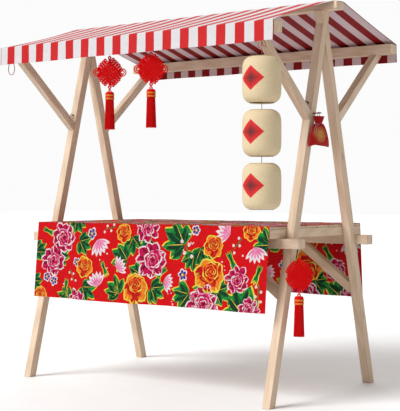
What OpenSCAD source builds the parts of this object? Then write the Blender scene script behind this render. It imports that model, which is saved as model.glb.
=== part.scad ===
// Wooden market stall: two A-shaped end frames carry a ridge beam, two eave beams and a
// counter. A striped canopy lies over the beams, a printed cloth hangs over the counter,
// and lanterns, knots and a pouch are hung on the frame as dressing.
// X runs along the counter, -Y is the customer's side, Z is up and z = 0 is the ground.

/* [Frame] */
// Height of the ridge beam's top above the ground
ridge_z = 2000; // [1800:10:2400]
// Distance between the end frames, post centre to post centre
frame_span = 1616; // [1300:4:2000]
// Distance between the front and back foot of an end frame, centre to centre
foot_spread = 972; // [800:4:1160]
// Thickness of the square posts
post_w = 46; // [38:1:58]
// Drop from the ridge beam's top to the point where the posts' centre lines cross
cross_drop = 105; // [90:1:130]
// Thickness of the square struts under the eaves
strut_w = 42; // [34:1:50]
// How far the struts' tops stay behind the eave beams' outer faces
strut_setback = 3; // [0:0.5:8]
// Angle of the eave struts above the horizontal
strut_angle = 41; // [38:1:46]

/* [Roof] */
// Width of the ridge beam and of the eave beams
beam_w = 70; // [60:1:84]
// Height of the ridge beam
ridge_h = 40; // [32:1:50]
// Height of the eave beams
eave_h = 53; // [44:1:64]
// How far the canopy and its beams reach past the end frames' middles
canopy_overhang = 107; // [92:1:128]
// Distance between the outer faces of the eave beams
canopy_depth = 1202; // [1100:2:1440]
// Drop from the ridge to the eaves
eave_drop = 160; // [120:1:200]
// How far the canopy's valance hangs below the eave
valance_drop = 97; // [80:1:116]
// Thickness of the canopy and the cloth
cloth_t = 2; // [1.5:0.1:2.4]
// How far the canopy's front edges curve in at half way up
rake_sag = 70; // [50:1:84]

/* [Counter] */
// Height of the rails' top above the ground
rail_z = 809; // [680:1:970]
// How far the rails reach past the end frames' middles
rail_overhang = 93; // [90:1:111]
// Width of a rail, front to back
rail_w = 58; // [50:1:68]
// Height of a rail
rail_h = 49; // [40:1:58]
// Depth of the housing cut in each post, at half the rail's height
housing = 3.5; // [2:0.5:6]
// Thickness of the cross beams under the counter
cross_beam_w = 45; // [38:1:54]
// Height of the cross beams
cross_beam_h = 46; // [38:1:55]
// Depth of the counter, front to back
counter_depth = 876; // [780:2:1000]
// Thickness of the counter boards
board_t = 12; // [10:1:15]
// Number of counter boards
board_count = 8; // [6:1:10]
// Gap between two counter boards
board_gap = 4; // [3:0.5:6]
// Thickness of the square knee braces
brace_w = 46; // [38:1:52]
// Height above the ground of a knee brace's lower corner
brace_z = 500; // [430:5:560]
// Angle of a knee brace above the horizontal
brace_angle = 36.5; // [34:0.5:42]

/* [Counter cloth] */
// How far the cloth hangs down at the front
front_drop = 418; // [350:1:500]
// How far the cloth hangs down at the back
back_drop = 405; // [340:1:490]
// How far the cloth's hems stand out from the counter's edge
hem_flare = 38; // [20:1:45]

/* [Dressing] */
// Diameter of a lantern
lantern_d = 186; // [150:2:200]
// Height of a lantern
lantern_h = 219; // [180:1:224]
// Distance between the centres of two lanterns
lantern_pitch = 250; // [240:1:275]
// Diameter of a lantern's flat ends
lantern_rim_d = 104; // [80:2:120]
// How far the lantern string hangs outside the posts
lantern_clear = 8; // [6:0.5:10]
// Distance of the lantern string's hook from the eave beam's outer face
lantern_inset = 12; // [11:1:30]
// Distance from the eave beam to the top of the first lantern
lantern_drop = 114; // [100:1:130]
// Diameter of the hanging cords and of the screw eyes' wire
wire_d = 3; // [2.5:0.1:3.5]
// Radius of the screw eyes' and cord loops' centre line
eye_r = 7; // [6.5:0.5:8]
// Half width of a knot's square middle, corner to centre
knot_half = 52; // [46:1:56]
// Thickness of a knot
knot_t = 12; // [9:1:14]
// Places of the two knots under the front eave
knot_places = [-135, 145];
// How far the third knot hangs outside the posts
side_knot_clear = 53; // [50:1:60]
// Turn of the knots about their cords
knot_turn = 37; // [30:1:45]
// Length of a tassel
tassel_len = 213; // [170:1:225]
// Width of the pouch
pouch_w = 150; // [110:1:160]
// Height of the pouch
pouch_h = 152; // [130:1:164]
// Distance of the pouch's peg below the ridge
pouch_drop = 568; // [520:1:660]

/* [Hidden] */
$fn = 48;

// Gap between two pieces that lie loosely together
rest_gap = 0.3;
// Gap between the counter's edge and the cloth
cloth_gap = 1.5;

// Roof
eave_z = ridge_z - eave_drop;
eave_bottom = eave_z - eave_h;
eave_y = (canopy_depth - beam_w) / 2;
ridge_bottom = ridge_z - ridge_h;

// End frames: the posts' centre lines run from the feet to the point where they cross
frame_x = frame_span / 2;
foot_y = foot_spread / 2;
lean = foot_y / (ridge_z - cross_drop);
post_half = post_w / 2 * sqrt(1 + lean * lean);
inner_x = frame_x - post_w / 2;
outer_x = frame_x + post_w / 2;
canopy_len = frame_span + 2 * canopy_overhang;
rail_len = frame_span + 2 * rail_overhang;

// Counter
rail_bottom = rail_z - rail_h;
rail_in = post_outer(rail_z - rail_h / 2) - housing;
rail_y = rail_in + rail_w / 2;
deck_z = rail_z + cross_beam_h;
counter_z = deck_z + board_t;
cloth_half = inner_x - 3;

// Screw eyes and the cord loops that swing in them
eye_drop = eye_r + wire_d / 2 + 4;
eye_inner = eye_r - wire_d / 2;
loop_drop = eye_inner - wire_d / 2 - rest_gap;
cord_top = -loop_drop - 2 * eye_r;
eave_eye_z = eave_bottom - eye_drop;
rail_eye_z = rail_bottom - eye_drop;

// Peg and hooks on the posts
peg_d = 6;
hook_r = 8;
hook_wire = 4;

// Knots and tassels
knot_loop_r = 9;
knot_side_r = 20;
knot_top = knot_half + 24 + knot_loop_r;
knot_reach = knot_half + 16 + knot_side_r;
knot_cord = 12;
// How far a knot's rows of loops stand out from its square middle
knot_ear = 33;
knot_drop = -cord_top + knot_cord + knot_top;

// Places of the lantern string, the third knot and the pouch
lantern_x = outer_x + lantern_clear;
lantern_y = canopy_depth / 2 - lantern_inset;
side_knot_x = outer_x + side_knot_clear;
pouch_peg_z = ridge_z - pouch_drop;

// Free loop of cord tied under the left end of the front eave. The route is half of the
// loop, as (x, z) from the middle of its tie down to its lowest point
tie_d = 4;
tie_x = -(frame_x + 50);
tie_y = -(canopy_depth / 2 - 26);
tie_route = [
    [-8, 0], [-8, -10], [-11, -20], [-15, -30], [-19, -40], [-22, -50],
    [-24, -60], [-24, -70], [-22, -80], [-17, -89], [-9, -95], [0, -97]
];

// The stall's own box, so that the origin is the middle of its base
lantern_reach = lantern_y + lantern_d / 2;
side_reach = side_knot_x + knot_reach * cos(knot_turn) + knot_t / 2 * sin(knot_turn);
mid_x = (side_reach - canopy_len / 2) / 2;
mid_y = (canopy_depth / 2 + cloth_t - lantern_reach) / 2;

// Distance of a post's centre line and of its outer face from the middle at a height
function post_y(z) = foot_y - lean * z;
function post_outer(z) = post_y(z) + post_half;

// Height at which a sloping edge through (y, z) meets a post's outer face
function meet_z(y, z, run) = (foot_y + post_half - y + z * run) / (run + lean);

// Point at an angle on a circle about a centre
function around(c, r, a) = [c[0] + r * cos(a), c[1] + r * sin(a)];

module centred() {
    translate([-mid_x, -mid_y, 0]) children();
}

// A slab of a (y, z) outline, from x - w/2 to x + w/2
module yz_slab(outline, x, w) {
    translate([x - w / 2, 0, 0])
        rotate([90, 0, 90])
            linear_extrude(w) polygon(outline);
}

// A slab of an (x, z) outline, from y - w/2 to y + w/2
module xz_slab(outline, y, w) {
    translate([0, y + w / 2, 0])
        rotate([90, 0, 0])
            linear_extrude(w) polygon(outline);
}

// A torus whose axis is Z
module ring(r, wire) {
    rotate_extrude($fn = 36) translate([r, 0]) circle(d = wire, $fn = 16);
}

/* ---- end frames ---- */

// Outline of a post that leans to the middle from the front (side -1) or the back (side 1)
function post_outline(side) = [
    [side * (foot_y + post_half), 0],
    [side * (foot_y - post_half), 0],
    [side * (post_y(ridge_bottom) - post_half), ridge_bottom],
    [side * post_outer(ridge_bottom), ridge_bottom]
];

// A post. Where the two posts of a frame cross, each keeps half of the thickness
module post(end, side) {
    color("burlywood") centred() difference() {
        yz_slab(post_outline(side), end * frame_x, post_w);
        yz_slab(post_outline(-side), end * frame_x + side * post_w / 2, post_w);
        translate([end * frame_x - post_w, side * rail_y - rail_w / 2, rail_bottom])
            cube([2 * post_w, rail_w, rail_h]);
    }
}

module strut(end, side) {
    run = 1 / tan(strut_angle);
    cut = strut_w / sin(strut_angle);
    top_y = canopy_depth / 2 - strut_setback;
    low_z = meet_z(top_y, eave_bottom, run);
    high_z = meet_z(top_y - cut, eave_bottom, run);
    color("tan") centred() yz_slab([
        [side * top_y, eave_bottom],
        [side * (top_y - cut), eave_bottom],
        [side * post_outer(high_z), high_z],
        [side * post_outer(low_z), low_z]
    ], end * frame_x, strut_w);
}

module ridge_beam() {
    color("burlywood") centred()
        translate([-canopy_len / 2, -beam_w / 2, ridge_bottom])
            cube([canopy_len, beam_w, ridge_h]);
}

module eave_beam(side) {
    color("burlywood") centred()
        translate([-canopy_len / 2, side * eave_y - beam_w / 2, eave_bottom])
            cube([canopy_len, beam_w, eave_h]);
}

/* ---- counter ---- */

module rail(side) {
    color("burlywood") centred()
        translate([-rail_len / 2, side * rail_y - rail_w / 2, rail_bottom])
            cube([rail_len, rail_w, rail_h]);
}

module cross_beam(end) {
    color("tan") centred()
        translate([
            end > 0 ? inner_x - cross_beam_w : -inner_x,
            -counter_depth / 2, rail_z
        ])
            cube([cross_beam_w, counter_depth, cross_beam_h]);
}

module counter_boards() {
    pitch = (counter_depth + board_gap) / board_count;
    color("wheat") centred()
        for (i = [0 : board_count - 1])
            translate([-cloth_half, -counter_depth / 2 + i * pitch, deck_z])
                cube([2 * cloth_half, pitch - board_gap, board_t]);
}

// A brace from a post's inner face up to the rail's underside
module brace(end, side) {
    tall = brace_w / cos(brace_angle);
    rise = rail_bottom - brace_z;
    color("tan") centred() xz_slab([
        [end * inner_x, brace_z],
        [end * inner_x, brace_z + tall],
        [end * (inner_x - (rise - tall) / tan(brace_angle)), rail_bottom],
        [end * (inner_x - rise / tan(brace_angle)), rail_bottom]
    ], side * rail_y, brace_w);
}

/* ---- fabric ---- */

// The canopy is one sheet over the ridge and both eaves, with a valance at each. Its
// front edges are cut in a shallow curve
module canopy() {
    out_y = canopy_depth / 2;
    hem_z = eave_z - valance_drop;
    top_y = beam_w / 2;
    half_run = (out_y + cloth_t) / 2;
    rake_r = (half_run * half_run + rake_sag * rake_sag) / (2 * rake_sag);
    color("crimson") centred() difference() {
        yz_slab([
            [-out_y, hem_z], [-out_y, eave_z], [-top_y, ridge_z],
            [top_y, ridge_z], [out_y, eave_z], [out_y, hem_z],
            [out_y + cloth_t, hem_z], [out_y + cloth_t, eave_z + cloth_t],
            [top_y, ridge_z + cloth_t], [-top_y, ridge_z + cloth_t],
            [-out_y - cloth_t, eave_z + cloth_t], [-out_y - cloth_t, hem_z]
        ], 0, canopy_len);
        for (end = [-1, 1])
            translate([end * (canopy_len / 2 - rake_sag + rake_r), -half_run, eave_z + cloth_t])
                cylinder(r = rake_r, h = 2 * eave_drop, $fn = 180);
    }
}

// The cloth lies on the boards and hangs over the counter's two long edges
module counter_cloth() {
    edge = counter_depth / 2 + cloth_gap;
    top = counter_z + cloth_t;
    front = -edge - hem_flare;
    back = edge + hem_flare;
    color("red") centred() yz_slab([
        [front, top - front_drop], [-edge, counter_z], [edge, counter_z],
        [back, top - back_drop], [back + cloth_t, top - back_drop],
        [edge + cloth_t, top], [-edge - cloth_t, top], [front - cloth_t, top - front_drop]
    ], 0, 2 * cloth_half);
}

/* ---- hooks and hung dressing ---- */

// A screw eye under a beam, with its middle at the origin: the ring's hole faces X
module screw_eye() {
    rotate([0, 90, 0]) ring(eye_r, wire_d);
    translate([0, 0, eye_r]) cylinder(d = wire_d, h = eye_drop - eye_r, $fn = 16);
}

// A ring of cord in the screw eye, and the cord below it, down to depth
module cord_loop(depth) {
    translate([0, 0, -loop_drop - eye_r]) rotate([90, 0, 0]) ring(eye_r, wire_d);
    translate([0, 0, -depth]) cylinder(d = wire_d, h = depth + cord_top, $fn = 16);
}

module screw_eyes() {
    color("silver") centred() {
        translate([lantern_x, -lantern_y, eave_eye_z]) screw_eye();
        for (x = knot_places) translate([x, -eave_y, eave_eye_z]) screw_eye();
        translate([side_knot_x, -rail_y, rail_eye_z]) screw_eye();
    }
}

// A ring on a short shank on each post's outer face, in the corner above the strut
module leg_hooks() {
    hook_z = eave_bottom - 302;
    shank = 6;
    color("dimgray") centred()
        for (end = [-1, 1], side = [-1, 1])
            translate([end * frame_x, side * (post_outer(hook_z) + shank), hook_z])
                rotate([side * -90, 0, 0]) {
                    translate([0, 0, hook_r + hook_wire / 2])
                        rotate([0, 90, 0]) ring(hook_r, hook_wire);
                    translate([0, 0, -shank * cos(atan(lean)) + rest_gap])
                        cylinder(d = hook_wire, h = shank + hook_wire, $fn = 16);
                }
}

// Depths of the three lanterns' tops below their screw eye
function lantern_depth(i) = lantern_drop - eye_drop + i * lantern_pitch;

module lantern_cords() {
    between = lantern_pitch - lantern_h;
    color("firebrick") centred() translate([lantern_x, -lantern_y, eave_eye_z]) {
        cord_loop(lantern_depth(0));
        for (i = [1, 2])
            translate([0, 0, -lantern_depth(i)])
                cylinder(d = wire_d, h = between, $fn = 16);
    }
}

// A paper lantern: a barrel with round shoulders and flat ends
module lantern(i) {
    steps = 12;
    rim_r = lantern_rim_d / 2;
    belly = lantern_d / 2 - rim_r;
    side = [for (k = [0 : steps])
        let (a = -90 + 180 * k / steps)
        [rim_r + belly * pow(cos(a), 0.6), lantern_h / 2 * sin(a)]];
    color("wheat") centred()
        translate([lantern_x, -lantern_y, eave_eye_z - lantern_depth(i) - lantern_h / 2])
            rotate_extrude($fn = 72)
                polygon(concat([[0, -lantern_h / 2]], side, [[0, lantern_h / 2]]));
}

// A flat knot: a square on its corner with rows of loops out from its edges, a ring at
// each side, and a small loop on a cord at its top and bottom
module knot_shape() {
    core = knot_half * sqrt(2);
    bump_r = 8;
    reach = core / 2 + knot_ear - bump_r;
    for (turn = [45, 135]) rotate(turn) {
        square([2 * reach, core], center = true);
        for (s = [-1, 1], k = [-2 : 2])
            translate([s * reach, k * (core / 2 - bump_r) / 2]) circle(bump_r);
    }
    for (s = [-1, 1]) {
        translate([s * (knot_half + 16), 0]) circle(knot_side_r);
        translate([0, s * (knot_half + 24)]) circle(knot_loop_r);
        translate([0, s * (knot_half + 10)]) square([6, 24], center = true);
    }
}

// A knot on its cord, below a screw eye at the origin
module knot() {
    cord_loop(knot_drop - knot_top + 1);
    translate([0, 0, -knot_drop])
        rotate([90, 0, knot_turn])
            translate([0, 0, -knot_t / 2])
                linear_extrude(knot_t) knot_shape();
}

// A tassel: a cord, a wrapped head and a skirt of threads, hung from the knot's lowest loop
module tassel() {
    head_z = 17;
    head_r = 23;
    head = 38;
    hem_r = 27;
    translate([0, 0, -knot_drop - knot_top - 0.1]) rotate_extrude()
        polygon([
            [0, 0], [wire_d, 0], [wire_d, -head_z], [head_r, -head_z], [head_r, -head_z - head],
            [head_r - 1.5, -head_z - head], [hem_r, -tassel_len], [0, -tassel_len]
        ]);
}

module front_knot(x) {
    color("red") centred() translate([x, -eave_y, eave_eye_z]) knot();
}

module front_tassel(x) {
    color("firebrick") centred() translate([x, -eave_y, eave_eye_z]) tassel();
}

module side_place() {
    centred() translate([side_knot_x, -rail_y, rail_eye_z]) children();
}

// A peg in the right front post's side that carries the pouch
module pouch_peg() {
    color("dimgray") centred()
        translate([outer_x, -post_y(pouch_peg_z), pouch_peg_z])
            rotate([0, 90, 0]) cylinder(d = peg_d, h = 46);
}

// A round-bottomed pouch, drawn in at its neck, with a cord ring over the peg
module pouch() {
    depth = 58;
    neck_z = pouch_h - 34;
    ball = depth / 2;
    hang_r = 10.8;
    hang_z = peg_d / 2 + rest_gap + wire_d / 2 - hang_r;
    top_z = hang_z - hang_r;
    color("indianred") centred()
        translate([outer_x + ball + rest_gap, -post_y(pouch_peg_z), pouch_peg_z]) {
            translate([0, 0, hang_z]) rotate([0, 90, 0]) ring(hang_r, wire_d);
            translate([0, 0, top_z - pouch_h]) pouch_bag(ball, neck_z);
        }
}

// The bag with its bottom at the origin: a round belly, and a ruffle above its neck
module pouch_bag(ball, neck_z) {
    hull() for (y = [-1, 1]) {
        translate([0, y * (pouch_w / 2 - ball), ball]) sphere(r = ball, $fn = 24);
        translate([0, y * 9, neck_z - 6]) cylinder(d = 22, h = 6, $fn = 24);
    }
    hull() for (y = [-1, 1]) {
        translate([0, y * 9, neck_z - 2]) cylinder(d = 22, h = 4, $fn = 24);
        translate([0, y * 24, pouch_h - 4]) cylinder(d = 20, h = 4, $fn = 24);
    }
}

// The two directions across a route in the XZ plane at its point i: in the plane, and Y
function along(route, i) =
    let (a = route[max(i - 1, 0)], b = route[min(i + 1, len(route) - 1)])
    (b - a) / norm(b - a);
function ring_point(route, i, r, a) =
    let (t = along(route, i), c = r * cos(a))
    [route[i][0] - c * t[1], r * sin(a), route[i][1] + c * t[0]];

// A round cord swept along a route in the XZ plane
module flat_cord(route, d, sides) {
    last = len(route) - 1;
    points = [for (i = [0 : last], k = [0 : sides - 1])
        ring_point(route, i, d / 2, 360 * k / sides)];
    walls = [for (i = [0 : last - 1], k = [0 : sides - 1])
        [i * sides + k, i * sides + (k + 1) % sides,
            (i + 1) * sides + (k + 1) % sides, (i + 1) * sides + k]];
    start = [for (k = [0 : sides - 1]) sides - 1 - k];
    end = [for (k = [0 : sides - 1]) last * sides + k];
    polyhedron(points, concat(walls, [start, end]), convexity = 4);
}

module tie_loop() {
    n = len(tie_route);
    back = [for (i = [n - 2 : -1 : 0]) [-tie_route[i][0], tie_route[i][1]]];
    color("firebrick") centred() translate([tie_x, tie_y, eave_bottom])
        flat_cord(concat(tie_route, back), tie_d, 8);
}

post(1, -1);  // post_front_right
post(1, 1);  // post_back_right
post(-1, -1);  // post_front_left
post(-1, 1);  // post_back_left
strut(1, -1);  // strut_front_right
strut(1, 1);  // strut_back_right
strut(-1, -1);  // strut_front_left
strut(-1, 1);  // strut_back_left
ridge_beam();
eave_beam(-1);  // eave_beam_front
eave_beam(1);  // eave_beam_back
rail(-1);  // rail_front
rail(1);  // rail_back
cross_beam(1);  // cross_beam_right
cross_beam(-1);  // cross_beam_left
counter_boards();
brace(1, -1);  // brace_front_right
brace(1, 1);  // brace_back_right
brace(-1, -1);  // brace_front_left
brace(-1, 1);  // brace_back_left
canopy();
counter_cloth();
leg_hooks();
screw_eyes();
lantern_cords();
lantern(0);  // lantern_top
lantern(1);  // lantern_middle
lantern(2);  // lantern_bottom
front_knot(knot_places[0]);  // knot_left
front_tassel(knot_places[0]);  // tassel_left
front_knot(knot_places[1]);  // knot_right
front_tassel(knot_places[1]);  // tassel_right
color("red") side_place() knot();  // knot_side
color("firebrick") side_place() tassel();  // tassel_side
pouch_peg();
pouch();
tie_loop();
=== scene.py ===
import math
import random

import bmesh
import bpy
import numpy as np
from mathutils import Matrix, Vector


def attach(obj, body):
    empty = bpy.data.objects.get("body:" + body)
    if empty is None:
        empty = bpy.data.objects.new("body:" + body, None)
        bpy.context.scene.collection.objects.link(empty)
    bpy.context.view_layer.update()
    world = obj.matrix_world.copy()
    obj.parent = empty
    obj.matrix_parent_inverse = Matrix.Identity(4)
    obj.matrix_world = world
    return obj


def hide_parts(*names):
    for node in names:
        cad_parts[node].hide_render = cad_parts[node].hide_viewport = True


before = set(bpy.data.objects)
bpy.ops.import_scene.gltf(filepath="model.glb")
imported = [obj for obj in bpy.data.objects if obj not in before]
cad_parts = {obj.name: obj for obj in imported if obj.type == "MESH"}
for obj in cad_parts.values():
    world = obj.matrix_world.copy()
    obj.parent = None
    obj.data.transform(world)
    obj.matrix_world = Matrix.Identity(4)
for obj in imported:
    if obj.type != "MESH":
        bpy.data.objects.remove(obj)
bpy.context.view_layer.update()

# Offset between the stall's own middle and the row frame's origin
MX, MY = 0.0214454, -0.0395


def at(x, y, z):
    """A place in the stall's own frame, as a vector in the row frame."""
    return Vector((x - MX, y - MY, z))


def up(z):
    return Vector((0, 0, z))


def turns(count):
    """Angles of a full turn in equal steps."""
    return [math.tau * k / count for k in range(count)]


def ring_faces(low, high, count):
    """Quads between two rings of vertices that start at low and high."""
    nexts = [(k + 1) % count for k in range(count)]
    return [(low + k, low + m, high + m, high + k) for k, m in enumerate(nexts)]


# ---------------------------------------------------------------- camera

LENS_MM, SENSOR_MM = 102.66, 36
CAMERA_PLACE = (3.946, -5.143, 1.040)
CAMERA_TURN, CAMERA_DIP = 37.32, 0.688


def add_object(name, data):
    obj = bpy.data.objects.new(name, data)
    bpy.context.scene.collection.objects.link(obj)
    return obj


def make_camera():
    data = bpy.data.cameras.new("camera")
    data.sensor_width = SENSOR_MM
    data.lens = LENS_MM
    camera = add_object("camera", data)
    camera.location = at(*CAMERA_PLACE)
    camera.rotation_euler = (math.radians(90 - CAMERA_DIP), 0, math.radians(CAMERA_TURN))
    bpy.context.scene.camera = camera


make_camera()


# ---------------------------------------------------------------- meshes

class Shape:
    """Vertices, faces, material numbers and UVs gathered into one mesh."""

    def __init__(self):
        self.verts = []
        self.faces = []
        self.inks = []
        self.uvs = []

    def add(self, verts, faces, ink=0, uvs=None):
        base = len(self.verts)
        self.verts += [tuple(float(c) for c in v) for v in verts]
        self.uvs += list(uvs) if uvs is not None else [(0.0, 0.0)] * len(verts)
        for face in faces:
            self.faces.append(tuple(int(i) + base for i in face))
            self.inks.append(ink)

    def tube(self, points, radius, sides=8, closed=False, ink=0):
        """A round tube along the points; UV runs round it and, in metres, along it."""
        p = np.array([tuple(v) for v in points], float)
        n = len(p)
        r = np.ones(n) * radius
        t = np.roll(p, -1, 0) - np.roll(p, 1, 0)
        if not closed:
            t[0] = p[1] - p[0]
            t[-1] = p[-1] - p[-2]
        t /= np.linalg.norm(t, axis=1)[:, None]
        across = np.cross(t[0], (0, 0, 1) if abs(t[0][2]) < 0.9 else (1, 0, 0))
        rings, uvs, run = [], [], 0.0
        for i in range(n):
            across = across - t[i] * np.dot(across, t[i])
            across /= np.linalg.norm(across)
            other = np.cross(t[i], across)
            run += np.linalg.norm(p[i] - p[i - 1]) if i else 0.0
            for k, a in enumerate(turns(sides)):
                rings.append(p[i] + r[i] * (math.cos(a) * across + math.sin(a) * other))
                uvs.append((k / sides, run))
        faces = []
        for i in range(n if closed else n - 1):
            faces += ring_faces(i * sides, (i + 1) % n * sides, sides)
        if not closed:
            faces.append(tuple(range(sides))[::-1])
            faces.append(tuple((n - 1) * sides + k for k in range(sides)))
        self.add(rings, faces, ink, uvs)

    def lathe(self, profile, centre, sides=48, ink=0, wave=None):
        """Turns a profile of (radius, z) about the vertical through centre."""
        verts, faces, uvs = [], [], []
        for r, z in profile:
            for k, a in enumerate(turns(sides)):
                q = r * (wave(a, z) if wave else 1.0)
                verts.append((centre[0] + q * math.cos(a), centre[1] + q * math.sin(a), centre[2] + z))
                uvs.append((k / sides, z))
        last = (len(profile) - 1) * sides
        for low in range(0, last, sides):
            faces += ring_faces(low, low + sides, sides)
        faces.append(tuple(range(sides))[::-1])
        faces.append(tuple(last + k for k in range(sides)))
        self.add(verts, faces, ink, uvs)

    def make(self, name, materials, sharp=40, origin=(0, 0, 0)):
        """The gathered mesh as an object; edges over the sharp angle stay crisp."""
        mesh = bpy.data.meshes.new(name)
        start = np.array(tuple(origin))
        mesh.from_pydata([tuple(np.array(v) - start) for v in self.verts], [], self.faces)
        for material in materials:
            mesh.materials.append(material)
        mesh.polygons.foreach_set("material_index", self.inks)
        layer = mesh.uv_layers.new(name="UVMap")
        loops = np.zeros(len(mesh.loops), int)
        mesh.loops.foreach_get("vertex_index", loops)
        layer.data.foreach_set("uv", np.array(self.uvs, float)[loops].ravel())
        mesh.polygons.foreach_set("use_smooth", [True] * len(mesh.polygons))
        mesh.set_sharp_from_angle(angle=math.radians(sharp))
        mesh.validate()
        obj = add_object(name, mesh)
        obj.location = Vector(start)
        return obj


def place(obj, body, slot, *nodes):
    """Gives a piece its body and hides the CAD nodes it stands for; slot, its finish, is not used."""
    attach(obj, body)
    if nodes:
        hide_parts(*nodes)
    return obj


# ---------------------------------------------------------------- material helper

class Nodes:
    """A material's node tree, with short calls to add and join nodes."""

    def __init__(self, name, colour, rough, **sockets):
        self.mat = bpy.data.materials.new(name)
        self.mat.use_nodes = True
        self.mat.diffuse_color = (*colour, 1)
        self.tree = self.mat.node_tree
        self.shader = self.tree.nodes["Principled BSDF"]
        self.shader.inputs["Base Color"].default_value = (*colour, 1)
        self.shader.inputs["Roughness"].default_value = rough
        for key, value in sockets.items():
            self.shader.inputs[key.replace("_", " ")].default_value = value

    def add(self, kind, **sockets):
        node = self.tree.nodes.new("ShaderNode" + kind)
        for key, value in sockets.items():
            if key.startswith("p_"):
                setattr(node, key[2:], value)
            elif key[1:].isdigit():
                self.put(node.inputs[int(key[1:])], value)
            else:
                self.put(node.inputs[key.replace("_", " ")], value)
        return node

    def put(self, socket, value):
        if isinstance(value, bpy.types.NodeSocket):
            self.tree.links.new(value, socket)
        else:
            socket.default_value = value

    def math(self, what, a, b=0.0):
        return self.add("Math", p_operation=what, i0=a, i1=b).outputs[0]

    def coords(self, scale=(1, 1, 1), kind="Object"):
        source = self.add("TexCoord").outputs[kind]
        return self.add("Mapping", Vector=source, Scale=scale).outputs[0]

    def axes(self, kind="Object"):
        return self.add("SeparateXYZ", Vector=self.coords(kind=kind)).outputs

    def noise(self, vector, scale, detail=2.0, distortion=0.0):
        node = self.add("TexNoise", Vector=vector, Scale=scale, Detail=detail, Distortion=distortion)
        return node.outputs["Fac"]

    def ramp(self, fac, *stops):
        node = self.add("ValToRGB", i0=fac)
        elements = node.color_ramp.elements
        while len(elements) < len(stops):
            elements.new(0.5)
        for element, (place_, colour) in zip(elements, stops):
            element.position = place_
            element.color = (*colour, 1)
        return node.outputs[0]

    def mix(self, fac, a, b, blend="MIX"):
        node = self.add("Mix", p_data_type="RGBA", p_blend_type=blend)
        self.put(node.inputs[0], fac)
        self.put(node.inputs[6], a if isinstance(a, bpy.types.NodeSocket) else (*a, 1))
        self.put(node.inputs[7], b if isinstance(b, bpy.types.NodeSocket) else (*b, 1))
        return node.outputs[2]

    def colour(self, value):
        self.put(self.shader.inputs["Base Color"], value)

    def spread(self, value, low, high, **limits):
        return self.add("MapRange", Value=value, To_Min=low, To_Max=high, **limits).outputs[0]

    def rough(self, low, high, fac):
        self.put(self.shader.inputs["Roughness"], self.spread(fac, low, high))

    def bump(self, height, strength, distance):
        node = self.add("Bump", Height=height, Strength=strength, Distance=distance)
        self.put(self.shader.inputs["Normal"], node.outputs[0])

    def weave(self, pitch):
        """Height of a plain weave: warp and weft threads crossing at one pitch."""
        where = self.coords()
        threads = []
        for axis in "XYZ":
            wave = self.add(
                "TexWave", Vector=where, p_wave_type="BANDS", p_bands_direction=axis,
                Scale=math.tau / pitch / 20.0, Distortion=0.6, Detail=1.0, Detail_Scale=0.4)
            threads.append(wave.outputs["Fac"])
        pair = self.math("MAXIMUM", threads[0], threads[1])
        return self.math("MAXIMUM", pair, threads[2])


# Colours are given as they look in this studio's light, which lifts a surface by 1 / LIFT
LIFT = 0.74


def srgb(r, g, b):
    """A colour as seen, in its usual 0-255 numbers, to the linear ones shaders use."""
    def one(c):
        c /= 255
        return LIFT * (c / 12.92 if c <= 0.04045 else ((c + 0.055) / 1.055) ** 2.4)
    return (one(r), one(g), one(b))


# ---------------------------------------------------------------- materials

def timber_material(name, light, dark, rough_low):
    m = Nodes(name, light, 0.6)
    along = m.coords(scale=(1, 1, 0.035))
    fibre = m.noise(along, 190, 5, 0.3)
    broad = m.noise(m.coords(scale=(1, 1, 0.12)), 14, 3, 1.2)
    rings = m.add(
        "TexWave", Vector=m.coords(scale=(1, 1, 0.06)), p_wave_type="RINGS", p_rings_direction="X",
        Scale=26, Distortion=7, Detail=3, Detail_Scale=1.2).outputs["Fac"]
    patch = m.noise(m.coords(), 3.1, 2)
    grain = m.math("ADD", m.math("MULTIPLY", fibre, 0.45), m.math("MULTIPLY", rings, 0.22))
    grain = m.math("ADD", grain, m.math("MULTIPLY", broad, 0.4))
    tone = m.ramp(grain, (0.32, dark), (0.72, light))
    pale = m.mix(m.math("MULTIPLY", patch, 0.35), tone, light)
    spot = m.add("TexVoronoi", Vector=m.coords(scale=(1, 1, 0.4)), Scale=7.5, Randomness=1.0)
    near = m.spread(spot.outputs["Distance"], 0.5, 0.0, From_Min=0.035, From_Max=0.085)
    knotty = m.mix(near, pale, tuple(c * 0.5 for c in dark))
    m.colour(knotty)
    m.rough(rough_low, rough_low + 0.2, fibre)
    m.bump(grain, 0.25, 0.0006)
    return m.mat


STRIPES = 33
HALF_ROOF = 0.915


def stripe_material(name, reds, whites, clear):
    """Red and white printed canvas; clear is the share of light let through by each."""
    m = Nodes(name, reds[0], 0.72, Specular_IOR_Level=0.2)
    count = m.math("DIVIDE", m.math("ADD", m.axes()[0], HALF_ROOF + MX), 2 * HALF_ROOF / STRIPES)
    odd = m.math("MODULO", m.math("FLOOR", count), 2.0)
    # Outside the outermost stripes, a thin dull dark red band along both side edges is painted shade for
    # the canvas's cut edge seen from below
    edge = m.math("LESS_THAN", m.math("ABSOLUTE", m.math("SUBTRACT", count, STRIPES / 2)), 16.42)
    cloud = m.noise(m.coords(), 5.5, 3)
    stripes = m.mix(odd, m.mix(cloud, *whites), m.mix(cloud, *reds))
    tone = m.mix(edge, srgb(150, 60, 52), stripes)
    weave = m.weave(0.0016)
    tone = m.mix(m.math("MULTIPLY", weave, 0.10), tone, (0.02, 0.01, 0.01), "MULTIPLY")
    m.colour(tone)
    m.bump(weave, 0.3, 0.0003)
    glow = m.mix(odd, srgb(232, 196, 204), srgb(96, 6, 12))
    thin = m.add("BsdfTranslucent", Color=glow)
    both = m.add("MixShader", i0=m.spread(odd, *clear))
    m.tree.links.new(m.shader.outputs[0], both.inputs[1])
    m.tree.links.new(thin.outputs[0], both.inputs[2])
    m.tree.links.new(both.outputs[0], m.tree.nodes["Material Output"].inputs[0])
    return m.mat


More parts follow.
